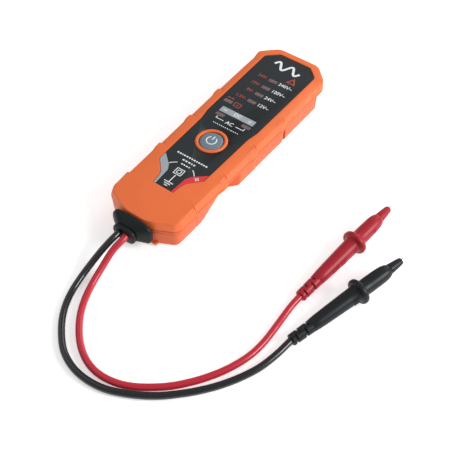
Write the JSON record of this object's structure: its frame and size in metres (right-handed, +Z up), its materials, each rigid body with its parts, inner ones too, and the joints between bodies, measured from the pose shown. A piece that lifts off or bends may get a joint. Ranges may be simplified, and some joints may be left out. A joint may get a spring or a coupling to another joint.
{
  "type": "two-probe voltage tester",
  "caption": "Flat orange hand-held voltage tester with a charcoal display panel, a round power button and two wired test probes lying beside it.",
  "frame": {"origin": "centre of the underside of the housing and gland's box, on the surface that the tester lies on", "axes": "+Y along the housing from the cable gland to the display end, +Z up out of the display face, +X to the right of the display"},
  "size_m": [0.1505, 0.2394, 0.0179],
  "materials": {
    "battery": "plain printed steel can",
    "black_plastic": "satin moulded plastic",
    "board": "solder mask over glass-fibre laminate",
    "brass": "thin sprung brass",
    "button_grey": "satin moulded plastic",
    "charcoal": "satin printed label sheet",
    "lens": "smooth tinted plastic",
    "orange": "satin moulded ABS",
    "red_lead": "glossy flexible PVC jacket",
    "red_plastic": "satin moulded plastic",
    "rubber": "satin moulded PVC",
    "steel": "nickel-plated steel",
    "white_plastic": "matt moulded plastic"
  },
  "bodies": {
    "tester": {"battery_1": "battery", "battery_2": "battery", "battery_spring_1": "steel", "battery_spring_2": "steel", "black_inner_wire": "rubber", "black_lead": "rubber", "black_probe_boot": "black_plastic", "black_probe_handle": "black_plastic", "black_probe_tip": "steel", "board_screw_1": "steel", "board_screw_2": "steel", "bridge_contact": "steel", "cable_gland": "rubber", "case_screw_1": "steel", "case_screw_2": "steel", "case_screw_3": "steel", "case_screw_4": "steel", "circuit_board": "board", "controller_chip": "black_plastic", "front_housing": "orange", "input_resistor_1": "button_grey", "input_resistor_2": "button_grey", "label_panel": "charcoal", "level_1_led": "white_plastic", "level_1_lens": "lens", "level_2_led": "white_plastic", "level_2_lens": "lens", "level_3_led": "white_plastic", "level_3_lens": "lens", "level_4_led": "white_plastic", "level_4_lens": "lens", "light_baffle": "white_plastic", "minus_led": "white_plastic", "minus_lens": "lens", "negative_contact": "steel", "plus_led": "white_plastic", "plus_lens": "lens", "positive_contact": "steel", "power_led": "white_plastic", "power_lens": "lens", "rear_housing": "orange", "red_inner_wire": "red_lead", "red_lead": "red_lead", "red_probe_boot": "red_plastic", "red_probe_handle": "red_plastic", "red_probe_tip": "steel", "switch_dome": "brass", "tact_switch": "steel"},
    "power_button": {"power_button": "button_grey", "switch_plunger": "black_plastic"},
    "battery_door": {"battery_door": "orange"},
    "red_probe_cap": {"red_probe_cap": "red_plastic"},
    "black_probe_cap": {"black_probe_cap": "black_plastic"}
  },
  "joints": [
    {"name": "power_button_press", "type": "slide", "parent": "tester", "child": "power_button", "axis": [0, 0, -1], "range_m": [0, 0.0008], "stiffness_N_per_m": 1500, "deforming": ["switch_dome"]},
    {"name": "battery_door_slide", "type": "slide", "parent": "tester", "child": "battery_door", "axis": [0, -1, 0], "range_m": [0, 0.008]},
    {"name": "red_probe_cap_pull", "type": "slide", "parent": "tester", "child": "red_probe_cap", "axis": [0.1229, 0.9884, 0.0888], "range_m": [0, 0.02]},
    {"name": "black_probe_cap_pull", "type": "slide", "parent": "tester", "child": "black_probe_cap", "axis": [0.2872, 0.9537, 0.0888], "range_m": [0, 0.02]}
  ]
}
